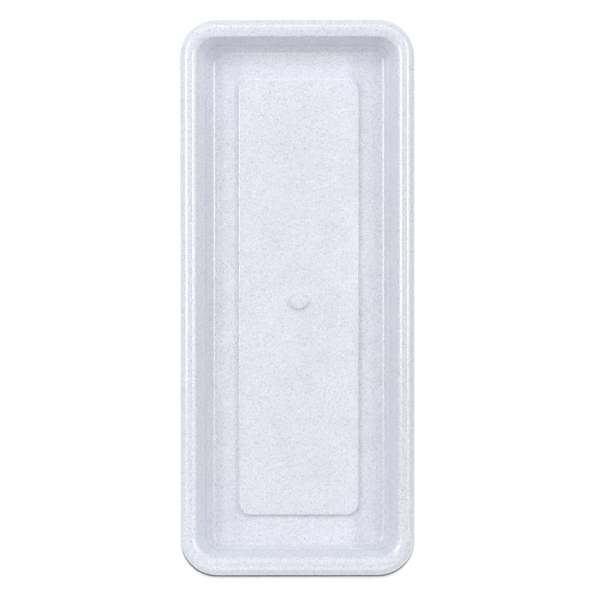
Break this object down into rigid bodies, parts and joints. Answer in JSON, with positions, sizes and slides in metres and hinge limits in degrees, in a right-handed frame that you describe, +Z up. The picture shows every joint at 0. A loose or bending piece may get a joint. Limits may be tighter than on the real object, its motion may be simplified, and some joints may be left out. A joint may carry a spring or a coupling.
{
  "type": "plant saucer",
  "caption": "Shallow oblong drip tray for a window box, with sloping walls, a rolled rim with a hanging skirt, and a raised panel on its floor.",
  "frame": {"origin": "middle of the underside, on the surface that the saucer stands on", "axes": "+Z up out of the open tray, +Y along its length, towards the end that the raised panel lies nearer to, +X across it"},
  "size_m": [0.169, 0.4, 0.03],
  "materials": {
    "speckled_plastic": "satin gloss, pale lilac-white with fine grey granite-like flecks"
  },
  "bodies": {
    "root": {"saucer_tray": "speckled_plastic"}
  },
  "joints": []
}
